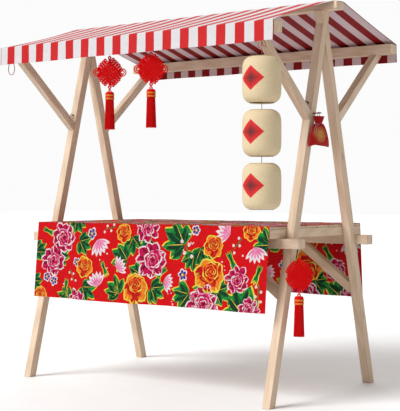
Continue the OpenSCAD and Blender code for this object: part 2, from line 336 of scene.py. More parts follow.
def cotton_material(name, colour, other):
    """A printed cotton colour: uneven ink on a plain weave."""
    m = Nodes(name, colour, 0.85, Specular_IOR_Level=0.15)
    brush = m.noise(m.coords(), 60, 4, 0.8)
    ink = m.ramp(brush, (0.36, other), (0.6, colour))
    weave = m.weave(0.0013)
    m.colour(m.mix(m.math("MULTIPLY", weave, 0.12), ink, (0.0, 0.0, 0.0)))
    m.bump(weave, 0.25, 0.0003)
    return m.mat


def cord_material(name, colour, dark, twist=900.0, rough=0.45):
    """Twisted satin cord with painted shade, its dark colour, in the grooves between strands; UV runs round
    the cord and, in metres, along it.
    """
    m = Nodes(name, colour, rough, Specular_IOR_Level=0.12)
    uv = m.axes("UV")
    turn = m.math("ADD", m.math("MULTIPLY", uv[0], 12.566), m.math("MULTIPLY", uv[1], twist))
    strand = m.math("ABSOLUTE", m.math("SINE", turn))
    fuzz = m.noise(m.coords(), 420, 3)
    # Painted shade: the dark colour fills the grooves between the strands; fuzz mixes a little of it in at
    # random
    tone = m.ramp(strand, (0.0, dark), (0.45, colour))
    m.colour(m.mix(m.math("MULTIPLY", fuzz, 0.25), tone, dark))
    m.bump(strand, 0.5, 0.0006)
    return m.mat


def steel_material(name, colour, rough):
    m = Nodes(name, colour, rough, Metallic=1.0)
    wear = m.noise(m.coords(), 320, 4)
    m.colour(m.ramp(wear, (0.35, tuple(c * 0.7 for c in colour)), (0.65, colour)))
    m.rough(rough, rough + 0.2, wear)
    m.bump(wear, 0.1, 0.0003)
    return m.mat


def paper_material():
    """Ribbed cream lantern paper with a red diamond painted on its front."""
    cream = srgb(238, 216, 172)
    m = Nodes("lantern_paper", cream, 0.75)
    x, y, z = m.axes()
    around = m.math("ARCTAN2", x, m.math("MULTIPLY", y, -1.0))
    side = m.math("DIVIDE", m.math("ABSOLUTE", m.math("MULTIPLY", around, 0.093)), 0.067)
    high = m.math("DIVIDE", m.math("ABSOLUTE", m.math("SUBTRACT", z, 0.004)), 0.058)
    ragged = m.math("ADD", m.math("ADD", side, high), m.math("MULTIPLY", m.noise(m.coords(), 190, 2), 0.05))
    fibre = m.noise(m.coords(scale=(1, 1, 3)), 130, 4, 0.6)
    paper = m.ramp(fibre, (0.3, srgb(232, 208, 166)), (0.7, srgb(246, 228, 190)))
    rib = m.math("SINE", m.math("MULTIPLY", z, math.tau / 0.0055))
    paper = m.mix(m.math("MULTIPLY", m.math("ADD", rib, 1.0), 0.06), paper, srgb(150, 125, 80))
    red = m.ramp(ragged, (0.0, srgb(104, 6, 12)), (0.30, srgb(132, 6, 14)), (0.85, srgb(226, 14, 20)))
    inside = m.math("LESS_THAN", ragged, 1.03)
    m.colour(m.mix(inside, paper, red))
    m.bump(m.math("ADD", m.math("MULTIPLY", rib, 0.5), fibre), 0.3, 0.0007)
    return m.mat


def pouch_material():
    """Dark red satin with a soft gold middle on both broad faces."""
    m = Nodes("pouch_satin", srgb(168, 6, 10), 0.6, Specular_IOR_Level=0.2)
    x, y, z = m.axes()
    side = m.math("DIVIDE", m.math("ADD", y, 0.014), 0.056)
    high = m.math("DIVIDE", m.math("SUBTRACT", z, -0.016), 0.058)
    far = m.math("ADD", m.math("POWER", side, 2.0), m.math("POWER", high, 2.0))
    cloud = m.noise(m.coords(), 55, 4, 1.0)
    far = m.math("ADD", m.math("SQRT", far), m.math("MULTIPLY", cloud, 0.5))
    tone = m.ramp(far, (0.45, srgb(222, 160, 84)), (0.85, srgb(206, 96, 44)), (1.25, srgb(186, 4, 8)))
    weave = m.weave(0.0011)
    m.colour(m.mix(m.math("MULTIPLY", weave, 0.15), tone, srgb(60, 8, 10)))
    m.bump(weave, 0.25, 0.0003)
    return m.mat


def floor_material():
    """Plain and pale."""
    m = Nodes("pale_floor", (0.90, 0.91, 0.93), 0.9)
    m.colour(m.ramp(m.noise(m.coords(), 6, 2), (0.3, (0.89, 0.91, 0.94)), (0.7, (0.91, 0.93, 0.96))))
    return m.mat


TIMBER = timber_material("pale_timber", srgb(244, 220, 194), srgb(216, 184, 152), 0.5)
TIMBER_EDGE = timber_material("pale_timber_edge", srgb(232, 204, 176), srgb(202, 168, 136), 0.55)
CANVAS = stripe_material(
    "striped_canvas", (srgb(212, 30, 36), srgb(232, 44, 46)),
    ((0.76, 0.77, 0.80), (0.82, 0.82, 0.86)), (0.26, 0.08))
# The canopy's underside is the same canvas, with its reds and whites darkened as painted shade
CANVAS_UNDER_PAINTED_SHADE = stripe_material(
    "striped_canvas_under_painted_shade", (srgb(140, 6, 14), srgb(164, 10, 20)),
    ((0.70, 0.60, 0.62), (0.76, 0.66, 0.68)), (0.30, 0.08))
# Each cord's second colour is painted shade for the grooves between its strands
RED_SILK = cord_material("red_cord", srgb(252, 0, 6), srgb(184, 0, 4), rough=0.7)
RED_THREAD = cord_material("red_thread", srgb(250, 4, 8), srgb(186, 0, 4), twist=500, rough=0.3)
GOLD_THREAD = cord_material("gold_thread", srgb(250, 170, 60), srgb(214, 100, 24), twist=700)
ROSE_CORD = cord_material("rose_cord", srgb(176, 92, 88), srgb(120, 50, 50), twist=900)
GREY_CORD = cord_material("grey_cord", srgb(190, 180, 182), srgb(130, 120, 122), twist=1500)
BRIGHT_STEEL = steel_material("bright_steel", (0.62, 0.62, 0.63), 0.25)
DARK_STEEL = steel_material("dark_steel", srgb(74, 54, 44), 0.4)
PAPER = paper_material()
PAPER_RIM = cord_material("lantern_rim", srgb(196, 178, 132), srgb(140, 118, 80), twist=300, rough=0.7)
DARK_RING = steel_material("lantern_ring", srgb(88, 74, 50), 0.5)
POUCH = pouch_material()


# ---------------------------------------------------------------- tie loop

LOOP_X, LOOP_Y, LOOP_TOP = -0.858, -0.575, 1.787


def make_tie_loop():
    """A limp loop of thin cord under the left end of the front eave beam."""
    half = [
        (-8, 0), (-8, -10), (-11, -20), (-15, -30), (-19, -40), (-22, -50),
        (-24, -60), (-24, -70), (-22, -80), (-17, -89), (-9, -95), (0, -97)]
    route = half + [(-x, z) for x, z in half[-2::-1]]
    points = [at(LOOP_X + x / 1000, LOOP_Y, LOOP_TOP + z / 1000) for x, z in route]
    curve = bpy.data.curves.new("tie_loop_cord", "CURVE")
    curve.dimensions = "3D"
    curve.bevel_depth = 0.002
    curve.bevel_resolution = 3
    curve.use_fill_caps = True
    spline = curve.splines.new("POLY")
    spline.points.add(len(points) - 1)
    for point, where in zip(spline.points, points):
        point.co = (*where, 1)
    spline.use_smooth = True
    curve.materials.append(ROSE_CORD)
    obj = add_object("tie_loop_cord", curve)
    place(obj, "stall", "red_cord", "tie_loop")
    length = sum((b - a).length for a, b in zip(points, points[1:]))
    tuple(points[0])


make_tie_loop()


# ---------------------------------------------------------------- timber

CORNERS = ["front_right", "back_right", "front_left", "back_left"]
BEAMS = ["ridge_beam", "eave_beam_front", "eave_beam_back", "rail_front", "rail_back"]
BEAMS += ["cross_beam_right", "cross_beam_left", "counter_boards"]
TIMBER_NODES = [kind + "_" + corner for kind in ("post", "strut") for corner in CORNERS]
TIMBER_NODES += BEAMS + ["brace_" + corner for corner in CORNERS]
BEVEL = 0.0022


def long_axis(points):
    """The direction a piece is longest in, pointing up or to the right."""
    spread = np.cov((points - points.mean(0)).T)
    axis = np.linalg.eigh(spread)[1][:, -1]
    if axis[2] < -0.1 or (abs(axis[2]) <= 0.1 and axis[0] + axis[1] < 0):
        axis = -axis
    return axis


def grain_place(points, number):
    """A transform with Z along the grain, its origin far off so that each piece differs."""
    axis = Vector(long_axis(points))
    side = axis.cross(Vector((0, 1, 0) if abs(axis.y) < 0.7 else (1, 0, 0))).normalized()
    turn = Matrix((side, axis.cross(side), axis)).transposed().to_4x4()
    middle = Vector(points.mean(0))
    shift = Matrix.Translation((0.21 + 0.013 * (number % 5), 0.17 - 0.02 * (number % 3), 1.37 * number))
    return Matrix.Translation(middle) @ turn @ shift


def make_timber(node, number):
    """A CAD timber's own mesh with eased edges, on axes that follow its grain."""
    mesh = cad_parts[node].data.copy()
    points = np.array([v.co for v in mesh.vertices])
    transform = grain_place(points, number)
    work = bmesh.new()
    work.from_mesh(mesh)
    bmesh.ops.remove_doubles(work, verts=work.verts, dist=1e-5)
    bmesh.ops.dissolve_limit(work, angle_limit=math.radians(1), verts=work.verts, edges=work.edges)
    bmesh.ops.transform(work, matrix=transform.inverted(), verts=work.verts)
    work.to_mesh(mesh)
    work.free()
    mesh.materials.clear()
    mesh.materials.append(TIMBER)
    mesh.materials.append(TIMBER_EDGE)
    mesh.polygons.foreach_set("material_index", [0] * len(mesh.polygons))
    mesh.polygons.foreach_set("use_smooth", [True] * len(mesh.polygons))
    obj = add_object(node + "_timber", mesh)
    obj.matrix_world = transform
    bevel = obj.modifiers.new("eased_edges", "BEVEL")
    bevel.width = BEVEL
    bevel.segments = 3
    bevel.limit_method = "ANGLE"
    bevel.angle_limit = math.radians(25)
    bevel.harden_normals = True
    bevel.material = 1
    place(obj, "stall", "pale_timber", node)


for number, node in enumerate(TIMBER_NODES):
    make_timber(node, number)


# ---------------------------------------------------------------- sheets

def grid_solid(shape, grid, thickness, under=0):
    """A closed thin cloth from a grid of places, thickness across its middle surface."""
    rows, cols = grid.shape[:2]
    down = np.gradient(grid, axis=0)
    across = np.gradient(grid, axis=1)
    normal = np.cross(across, down)
    normal /= np.linalg.norm(normal, axis=2)[:, :, None]
    half = (np.ones((rows, cols)) * thickness / 2)[:, :, None]
    verts = np.concatenate([(grid + normal * half).reshape(-1, 3), (grid - normal * half).reshape(-1, 3)])
    faces, below = [], []
    other = rows * cols
    for i in range(rows - 1):
        for j in range(cols - 1):
            a, b, c, d = i * cols + j, i * cols + j + 1, (i + 1) * cols + j + 1, (i + 1) * cols + j
            faces.append((a, b, c, d)[::-1])
            below.append((a + other, b + other, c + other, d + other))
    rim = [(0, j) for j in range(cols)] + [(i, cols - 1) for i in range(1, rows)]
    rim += [(rows - 1, j) for j in range(cols - 2, -1, -1)] + [(i, 0) for i in range(rows - 2, 0, -1)]
    for (i, j), (k, l) in zip(rim, rim[1:] + rim[:1]):
        a, b = i * cols + j, k * cols + l
        faces.append((a, b, b + other, a + other))
    shape.add(verts, faces + below)
    shape.inks[len(faces):] = [under] * len(below)


def along_line(corners, s):
    """Places at distance s along a line of corners."""
    corners = np.array(corners, float)
    run = np.concatenate([[0], np.cumsum(np.linalg.norm(np.diff(corners, axis=0), axis=1))])
    return np.stack([np.interp(s, run, corners[:, k]) for k in range(2)], axis=-1)


def rounded_line(corners, s, reach):
    """The same, with its corners eased over a distance of reach each way."""
    return np.mean([along_line(corners, s + reach * k) for k in (-1, -0.5, 0, 0.5, 1)], axis=0)


# ---------------------------------------------------------------- canopy

ROOF = [(-0.602, 1.7435), (-0.602, 1.8408), (-0.035, 2.001)]
ROOF += [(-y, z) for y, z in ROOF[::-1]]
VALANCE = 0.0973
SLOPE = math.hypot(0.567, 0.1602)
ROOF_LENGTH = 2 * VALANCE + 2 * SLOPE + 0.07


def roof_half_width(y, s):
    """Half the canopy's width: its front slope's ends are cut in a shallow arc."""
    radius = 0.6843
    inward = HALF_ROOF - 0.070 + radius - np.sqrt(np.maximum(radius ** 2 - (y + 0.3015) ** 2, 0))
    on_slope = (s > VALANCE) & (y < 0)
    return np.where(on_slope, np.minimum(inward, HALF_ROOF), HALF_ROOF)


def canopy_grid():
    corners = [VALANCE, VALANCE + SLOPE, VALANCE + SLOPE + 0.07, ROOF_LENGTH - VALANCE]
    s = np.unique(np.concatenate(
        [np.linspace(0, ROOF_LENGTH, 112)] + [c + np.array([-6, -3, -1, 1, 3, 6]) / 1000 for c in corners]))
    line = rounded_line(ROOF, s, 0.004)
    c = np.linspace(-1, 1, 133)
    y = line[:, 0][:, None] + 0 * c[None, :]
    z = line[:, 1][:, None] + 0 * c[None, :]
    x = roof_half_width(y, s[:, None]) * c[None, :]
    slope = np.clip((0.602 - np.abs(y)) / 0.567, 0, 1)
    sag = np.sin(math.pi * slope) * (0.0035 + 0.0015 * np.sin(9.1 * x + 1.0) * np.cos(3 * x))
    z = z - np.where(z > 1.8415, sag, 0)
    drop = np.clip((1.838 - z) / VALANCE, 0, 1)
    ripple = np.sin(21 * x + 0.6) + 0.6 * np.sin(37 * x + np.sign(y)) + 0.4 * np.sin(64 * x)
    y = y + np.sign(y) * drop ** 1.4 * (0.0012 + 0.0016 * ripple)
    z = z + drop * 0.0012 * np.sin(11 * x + y * 3)
    return np.stack([x - MX, y - MY, z], axis=-1), s


def make_canopy():
    grid, s = canopy_grid()
    shape = Shape()
    edge = np.minimum(s, ROOF_LENGTH - s)
    thick = np.where(edge < 0.016, 0.0026, 0.0014)[:, None]
    # The underside faces take the darker canvas copy, which is painted shade
    grid_solid(shape, grid, thick, under=1)
    obj = shape.make("canopy_canvas", [CANVAS, CANVAS_UNDER_PAINTED_SHADE], sharp=50)
    place(obj, "stall", "striped_canvas", "canopy")


make_canopy()


# ---------------------------------------------------------------- counter cloth

FRONT_DROP = 0.4194
BACK_DROP = 0.4064
CLOTH_TOP = 0.881
TABLE = [(-0.4788, 0.4510), (-0.4405, 0.8683), (0.4405, 0.8683), (0.4788, 0.4636)]
HALF_CLOTH = 0.782
BEND_STEPS = np.array([-6, -4, -2.5, -1.2, 0, 1.2, 2.5, 4, 6]) / 1000


def cloth_places(u, s):
    """The cloth's middle surface: u across, s from its front top edge, minus down the front."""
    line = rounded_line(TABLE, s + FRONT_DROP, 0.003)
    y, z = line[..., 0], line[..., 1]
    front = np.clip(-s / FRONT_DROP, 0, 1)
    back = np.clip((s - CLOTH_TOP) / BACK_DROP, 0, 1)
    swing = np.cos(18.5 * u + 0.9) + 0.55 * np.cos(33 * u + 2.1) + 0.3 * np.cos(51 * u)
    other = np.cos(16.2 * u + 2.2) + 0.5 * np.cos(29 * u + 0.4) + 0.3 * np.cos(47 * u + 1)
    y = y - front ** 1.5 * 0.0046 * swing + back ** 1.5 * 0.0046 * other
    z = z + front * 0.0020 * np.sin(7 * u) + back * 0.0020 * np.sin(6 * u + 1)
    flat = (front == 0) & (back == 0)
    z = z + np.where(flat, 0.0004 * np.sin(23 * u + 9 * s) * np.sin(17 * s) ** 2, 0)
    x = u * (1 - 0.004 * (front + back))
    return np.stack([x - MX, y - MY, z], axis=-1)


def cloth_normals(u, s):
    step = 0.0006
    across = cloth_places(u + step, s) - cloth_places(u - step, s)
    down = cloth_places(u, s + step) - cloth_places(u, s - step)
    normal = np.cross(across, down)
    return normal / np.linalg.norm(normal, axis=-1)[..., None]


def cloth_rows():
    edges = [0, CLOTH_TOP]
    fine = [e + BEND_STEPS for e in edges]
    return np.unique(np.concatenate([np.linspace(-FRONT_DROP, CLOTH_TOP + BACK_DROP, 142)] + fine))


# ---- print motifs: each petal is an outline in (u, s), drawn in one ink on its own layer

INKS = {
    "magenta": (srgb(208, 6, 84), srgb(168, 0, 62)),
    "deep": (srgb(138, 0, 52), srgb(100, 0, 36)),
    "pink": (srgb(238, 150, 190), srgb(226, 110, 162)),
    "white": (srgb(244, 236, 238), srgb(236, 214, 224)),
    "green": (srgb(26, 148, 62), srgb(8, 112, 46)),
    "dark": (srgb(12, 66, 36), srgb(8, 50, 30)),
    "yellow": (srgb(246, 222, 84), srgb(222, 206, 50)),
    "orange": (srgb(246, 142, 40), srgb(236, 110, 26)),
    "scarlet": (srgb(214, 26, 10), srgb(170, 6, 8)),
    "blue": (srgb(34, 74, 168), srgb(20, 50, 130)),
}
INK_NAMES = list(INKS)
PETAL_STEPS = 7


def beyond(place, turn, reach):
    """The place a reach away from another in one direction."""
    return place[0] + reach * math.cos(turn), place[1] + reach * math.sin(turn)


class Print:
    """Collects the print's outlines as a flat mesh in (u, s, layer)."""

    def __init__(self, seed):
        self.shape = Shape()
        self.random = random.Random(seed)
        self.count = 0
        self.level = 0.0

    def start(self, level):
        self.count += 1
        self.level = level + 0.06 * (self.count % 16)

    def blob(self, ink, outline, centre, layer):
        outline = np.array(outline)
        centre = np.array(centre, float)
        size = np.abs(outline - centre).max()
        rings = max(1, math.ceil(size / 0.014))
        n = len(outline)
        verts = [centre]
        for r in range(1, rings + 1):
            verts += list(centre + (outline - centre) * r / rings)
        faces = [(0, 1 + k, 1 + (k + 1) % n) for k in range(n)]
        for r in range(rings - 1):
            faces += [(a, d, c, b) for a, b, c, d in ring_faces(1 + r * n, 1 + (r + 1) * n, n)]
        high = self.level + layer
        self.shape.add([(v[0], v[1], high) for v in verts], faces, INK_NAMES.index(ink))

    def petal(self, ink, base, turn, length, width, layer, blunt=0.62, frill=0.0):
        """A petal or leaf from base outwards; blunt moves its widest place to the tip."""
        ca, sa = math.cos(turn), math.sin(turn)
        left, right = [], []
        for k in range(PETAL_STEPS + 1):
            t = k / PETAL_STEPS
            half = width / 2 * math.sin(math.pi * t ** blunt) ** 0.8 if 0 < t < 1 else 0.0
            half *= 1 + frill * math.cos(9 * t + turn * 5)
            x = t * length * (1 + frill * 0.3 * math.sin(turn * 7))
            left.append((base[0] + ca * x - sa * half, base[1] + sa * x + ca * half))
            if 0 < t < 1:
                right.append((base[0] + ca * x + sa * half, base[1] + sa * x - ca * half))
        mid = length * 0.55
        self.blob(ink, left + right[::-1], (base[0] + ca * mid, base[1] + sa * mid), layer)

    def disc(self, ink, centre, radius, layer, lobes=0, depth=0.0, turn=0.0, points=14):
        outline = []
        for a in turns(points):
            outline.append(beyond(centre, a, radius * (1 + depth * math.cos(lobes * a + turn))))
        self.blob(ink, outline, centre, layer)

    def fan(self, turn, count, jitter, size, low, high):
        """Number, direction and length of each petal round a centre, a little uneven."""
        for k in range(count):
            a = turn + math.tau * k / count + self.random.uniform(-jitter, jitter)
            yield k, a, size * self.random.uniform(low, high)

    def peony(self, u, s, r, turn):
        """Layers of magenta petals with broken white edges round a deep heart."""
        self.start(16)
        for k, a, long in self.fan(turn, 9, 0.14, r, 0.84, 1.08):
            base = beyond((u, s), a, 0.12 * r)
            self.petal("white", base, a, long, r * 0.62, 0.04 * k, 1.5, 0.12)
            self.petal("magenta", base, a + 0.05, long * 0.93, r * 0.56, 0.5 + 0.04 * k, 1.4, 0.10)
            self.petal("deep", base, a - 0.16, long * 0.80, r * 0.16, 1.0 + 0.01 * k, 1.3)
            if k % 2:
                self.petal("white", base, a + 0.22, long * 0.88, r * 0.07, 1.2 + 0.01 * k, 1.6)
        inner = beyond((u, s), turn, 0.06 * r)
        for level, count, size in ((2.2, 7, 0.66), (4.2, 6, 0.46), (6.2, 4, 0.28)):
            for k, a, long in self.fan(turn + level, count, 0.2, r * size, 0.85, 1.10):
                edge = "white" if k % 3 else "pink"
                high = level + 0.04 * k
                self.petal(edge, inner, a, long, r * size * 0.80, high, 1.5, 0.12)
                self.petal("magenta", inner, a + 0.12, long * 0.88, r * size * 0.72, high + 0.7, 1.4, 0.10)
        self.disc("deep", inner, r * 0.11, 8.4, 5, 0.2, turn)

    def rose(self, u, s, r, turn):
        """An open cup: wide rimmed petals below, a heart of curled ones above."""
        self.start(16)
        low = math.radians(-90) + turn * 0.3
        for k, a, long in self.fan(low, 8, 0.10, r, 0.88, 1.04):
            long *= 1.0 + 0.12 * math.cos(a - low)
            base = beyond((u, s), a, 0.1 * r)
            self.petal("yellow", base, a, long, r * 0.84, 0.05 * k, 1.4, 0.10)
            fill = "orange" if k % 3 else "scarlet"
            self.petal(fill, base, a + 0.05, long * 0.90, r * 0.74, 0.6 + 0.05 * k, 1.35, 0.08)
            self.petal("scarlet", base, a - 0.05, long * 0.62, r * 0.44, 1.2 + 0.03 * k, 1.2)
        cup = beyond((u, s), low, -0.16 * r)
        for level, count, size in ((2.2, 6, 0.62), (4.2, 5, 0.42), (6.2, 4, 0.26)):
            for k, a, long in self.fan(low + level, count, 0.15, r * size, 0.88, 1.08):
                rim = "yellow" if k % 2 else "orange"
                high = level + 0.04 * k
                self.petal(rim, cup, a, long, r * size * 0.86, high, 1.5)
                self.petal("scarlet", cup, a + 0.10, long * 0.86, r * size * 0.78, high + 0.7, 1.4)
        self.disc("orange", cup, r * 0.07, 8.4, 5, 0.2, turn)

    def leaf(self, u, s, size, turn):
        """A lobed leaf centred at (u, s): lit rim on one side, green blade, dark heart and veins."""
        self.start(0)
        base = beyond((u, s), turn, -0.5 * size)
        for k in range(5):
            side = k - 2
            a = turn + side * 0.58 + self.random.uniform(-0.10, 0.10)
            long = size * (1.04 - 0.14 * abs(side)) * self.random.uniform(0.88, 1.08)
            wide, high = size * 0.46, 0.10 * k
            self.petal("yellow", base, a, long, wide, high, 0.95, 0.16)
            self.petal("green", base, a + 0.045, long * 0.965, wide * 0.93, 0.9 + high, 0.95, 0.16)
            self.petal("dark", base, a + 0.13, long * 0.86, wide * 0.50, 2.6 + high, 0.85, 0.2)
            self.petal("yellow" if k % 2 else "green", base, a, long * 0.86, size * 0.026, 4.4 + high)

    def crescent(self, u, s, size, turn):
        self.start(0)
        for k in range(3):
            a = turn + 0.30 * (k - 1)
            base = beyond((u, s), a, -0.45 * size)
            self.petal("yellow", base, a, size, size * 0.20, 0.1 * k, 1.0)
            self.petal("green", base, a, size * 0.90, size * 0.13, 2 + 0.1 * k, 1.0)
        self.petal("dark", beyond((u, s), turn, -0.4 * size), turn, size * 0.8, size * 0.06, 4)

    def bud(self, u, s, r, turn):
        self.start(8)
        for k, a, long in self.fan(turn, 5, 0.10, r, 0.88, 1.10):
            base = beyond((u, s), a, 0.15 * r)
            for ink, share, high in (("white", 1.0, 0.05 * k), ("blue", 0.74, 0.05 * k + 0.9)):
                self.petal(ink, base, a, long * share, r * 0.86 * share ** 1.3, high, 1.35, 0.10)
        self.disc("yellow", (u, s), r * 0.24, 3.2, 5, 0.15)

    def feather(self, u, s, size, turn):
        self.start(8)
        base = beyond((u, s), turn, -0.35 * size)
        for k in range(6):
            a = turn + (k - 2.5) * 0.36
            self.petal("white", base, a, size * 0.92, size * 0.26, 0.1 * k, 1.2)
            self.petal("pink", base, a, size * 0.70, size * 0.13, 2 + 0.1 * k, 1.2)

    def sprig(self, u, s, size, turn):
        self.start(4)
        self.petal("green", beyond((u, s), turn, -0.5 * size), turn, size, size * 0.07, 0)
        for k in range(4):
            aside = (0.16 if k % 2 else -0.16) * size
            stem = beyond((u, s), turn, (k - 1.2) * 0.26 * size)
            spot = beyond(stem, turn + math.pi / 2, aside)
            self.disc("white", spot, size * 0.085, 1 + 0.05 * k, 3, 0.12, points=9)
            self.disc("yellow", spot, size * 0.03, 2 + 0.05 * k, points=7)

    def dots(self, u, s, reach, count):
        self.start(2)
        for k in range(count):
            spot = (u + self.random.uniform(-reach, reach), s + self.random.uniform(-reach, reach))
            self.disc("white", spot, self.random.uniform(0.0028, 0.0055), 0.03 * k, points=7)


# The front drop's layout, by kind: (across, down from the top edge, size, turn in degrees),
# or for dots (across, down, reach, count)
LAYOUT = {
    "leaf": [
        (-0.47, 0.02, 0.1, 60), (-0.41, 0.12, 0.1, 20), (-0.17, 0.165, 0.13, 200),
        (-0.07, 0.12, 0.1, 80), (0.2, 0.06, 0.16, 210), (0.31, 0.19, 0.09, 120), (0.385, 0.165, 0.1, 80),
        (-0.2, 0.335, 0.11, 220), (-0.37, 0.375, 0.11, 30), (0.26, 0.37, 0.12, 160),
        (0.63, 0.35, 0.17, 250), (0.11, 0.36, 0.11, 30), (0.01, 0.105, 0.09, 150),
        (0.41, 0.325, 0.12, 180), (-0.75, 0.145, 0.1, 330), (-0.76, 0.36, 0.1, 30),
        (0.745, 0.06, 0.11, 210), (-0.57, 0.165, 0.1, 340), (-0.06, 0.27, 0.1, 170),
        (0.53, 0.345, 0.11, 20), (-0.56, 0.4, 0.09, 200)],
    "crescent": [
        (-0.55, 0.355, 0.11, 100), (0.57, 0.17, 0.12, 60), (0.73, 0.23, 0.11, 110),
        (0.13, 0.25, 0.1, 140), (-0.27, 0.24, 0.1, 60), (-0.7, 0.05, 0.1, 20)],
    "bud": [
        (-0.37, 0.057, 0.03, 10), (0.27, 0.255, 0.03, 40), (-0.69, 0.305, 0.026, 0),
        (-0.635, 0.325, 0.026, 30), (0.34, 0.025, 0.026, 70), (-0.47, 0.215, 0.024, 20)],
    "feather": [
        (-0.31, 0.12, 0.1, 60), (-0.32, 0.31, 0.09, 250), (0.52, 0.03, 0.1, 200),
        (0.715, 0.13, 0.09, 80), (-0.16, 0.225, 0.08, 320), (0.17, 0.3, 0.07, 10)],
    "sprig": [
        (0.29, 0.13, 0.12, 250), (-0.24, 0.025, 0.09, 170), (0.6, 0.09, 0.09, 130),
        (-0.5, 0.29, 0.08, 60), (0.74, 0.32, 0.09, 90), (-0.03, 0.4, 0.08, 20)],
    "dots": [
        (0.3, 0.09, 0.05, 9), (-0.27, 0.19, 0.05, 8), (0.52, 0.22, 0.05, 8), (-0.6, 0.29, 0.06, 9),
        (0.18, 0.4, 0.05, 8), (0.66, 0.19, 0.05, 7)],
    "peony": [
        (-0.58, 0.085, 0.088, 0), (-0.65, 0.215, 0.082, 30), (0.06, 0.185, 0.096, 15),
        (0.02, 0.02, 0.074, 40), (0.405, 0.395, 0.092, 10), (0.61, 0.265, 0.068, 25),
        (0.69, 0.405, 0.058, 0), (-0.46, 0.425, 0.06, 50)],
    "rose": [
        (-0.04, 0.33, 0.082, 0), (0.44, 0.245, 0.092, 30), (0.455, 0.1, 0.06, 10),
        (-0.14, 0.045, 0.052, 0), (-0.735, 0.405, 0.052, 20), (-0.41, 0.235, 0.06, 60),
        (0.68, 0.02, 0.05, 10)],
}


def draw_layout(ink, place_of, flip=1):
    """Draws the front drop's layout on another band, by where a place on it goes."""
    for kind, places in LAYOUT.items():
        for across, down, size, turn in places:
            u, s, sign = place_of(across * flip, down)
            angle = sign * math.radians(turn if flip > 0 else 180 - turn)
            getattr(ink, kind)(u, s, size, turn if kind == "dots" else angle)


def clip(work, plane, normal):
    geometry = work.verts[:] + work.edges[:] + work.faces[:]
    bmesh.ops.bisect_plane(work, geom=geometry, plane_co=plane, plane_no=normal, clear_outer=True)


def split(work, s):
    faces = [f for f in work.faces if min(v.co.y for v in f.verts) < s < max(v.co.y for v in f.verts)]
    edges = {e for f in faces for e in f.edges}
    verts = {v for f in faces for v in f.verts}
    geometry = list(verts) + list(edges) + faces
    bmesh.ops.bisect_plane(work, geom=geometry, plane_co=(0, s, 0), plane_no=(0, 1, 0))


def flat_print(ink, low, high):
    """The print's outlines cut to the cloth and split where the cloth turns a corner."""
    mesh = bpy.data.meshes.new("flat")
    mesh.from_pydata(ink.shape.verts, [], ink.shape.faces)
    mesh.polygons.foreach_set("material_index", ink.shape.inks)
    work = bmesh.new()
    work.from_mesh(mesh)
    side = HALF_CLOTH - 0.0008
    for plane, normal in (((side, 0, 0), (1, 0, 0)), ((-side, 0, 0), (-1, 0, 0)),
                          ((0, high, 0), (0, 1, 0)), ((0, low, 0), (0, -1, 0))):
        clip(work, plane, normal)
    for edge in (0, CLOTH_TOP):
        for step in BEND_STEPS:
            split(work, edge + step)
    work.to_mesh(mesh)
    work.free()
    return mesh


def wrap_print(name, flat, side):
    """Lays a flat print on one side of the cloth, every layer just above the last."""
    flat = flat.copy()
    co = np.zeros(len(flat.vertices) * 3)
    flat.vertices.foreach_get("co", co)
    co = co.reshape(-1, 3)
    height = CLOTH_THICK / 2 + 0.00022 + co[:, 2] * 0.000035
    places = cloth_places(co[:, 0], co[:, 1]) + side * cloth_normals(co[:, 0], co[:, 1]) * height[:, None]
    flat.vertices.foreach_set("co", places.ravel())
    if side < 0:
        flat.flip_normals()
    for key in INK_NAMES:
        flat.materials.append(INK_MATERIALS[key])
    flat.polygons.foreach_set("use_smooth", [True] * len(flat.polygons))
    flat.name = name
    return place(add_object(name, flat), "stall", "printed_cloth", "counter_cloth")


CLOTH_THICK = 0.0009
INK_MATERIALS = {key: cotton_material("print_" + key, *pair) for key, pair in INKS.items()}
CLOTH_RED = cotton_material("cloth_red", srgb(222, 0, 14), srgb(206, 0, 10))


def make_cloth():
    rows = cloth_rows()
    cols = np.linspace(-HALF_CLOTH, HALF_CLOTH, 141)
    u, s = np.meshgrid(cols, rows)
    hem = np.minimum(rows + FRONT_DROP, CLOTH_TOP + BACK_DROP - rows) < 0.008
    thick = np.where(hem, CLOTH_THICK * 1.25, CLOTH_THICK)[:, None]
    shape = Shape()
    grid_solid(shape, cloth_places(u, s), thick)
    obj = shape.make("counter_cloth_sheet", [CLOTH_RED], sharp=60)
    place(obj, "stall", "printed_cloth", "counter_cloth")
    return obj


def make_prints():
    front = Print(7)
    draw_layout(front, lambda u, d: (u, -d, -1))
    top = Print(8)
    draw_layout(top, lambda u, d: (u, 0.44 - d, -1), flip=-1)
    draw_layout(top, lambda u, d: (u, 0.88 - d, -1))
    back = Print(9)
    draw_layout(back, lambda u, d: (u, CLOTH_TOP + d, 1))
    hem = 0.0012
    front_flat = flat_print(front, -FRONT_DROP + hem, 0.07)
    top_flat = flat_print(top, 0.0, CLOTH_TOP)
    back_flat = flat_print(back, CLOTH_TOP - 0.07, CLOTH_TOP + BACK_DROP - hem)
    front_low = flat_print(front, -FRONT_DROP + hem, -0.03)
    back_low = flat_print(back, CLOTH_TOP + 0.03, CLOTH_TOP + BACK_DROP - hem)
    return [
        wrap_print("print_front", front_flat, OUT),
        wrap_print("print_top", top_flat, OUT),
        wrap_print("print_back", back_flat, OUT),
        wrap_print("print_front_inside", front_low, -OUT),
        wrap_print("print_back_inside", back_low, -OUT)]


OUT = 1 if cloth_normals(np.array([0.0]), np.array([0.4]))[0][2] > 0 else -1
cloth_sheet = make_cloth()
prints = make_prints()


# ---------------------------------------------------------------- metal fittings

LANTERN_X, LANTERN_Y = 0.839, -0.589
EYE_Z = 1.7745
LANTERN_EYE = at(LANTERN_X, LANTERN_Y, EYE_Z)
KNOT_EYES = {
    "left": at(-0.135, -0.566, EYE_Z),
    "right": at(0.145, -0.566, EYE_Z),
    "side": at(0.884, -0.33405, 0.7475)}
EYE_R, WIRE = 0.007, 0.0015
EYE_TO_LOOP = 0.0107


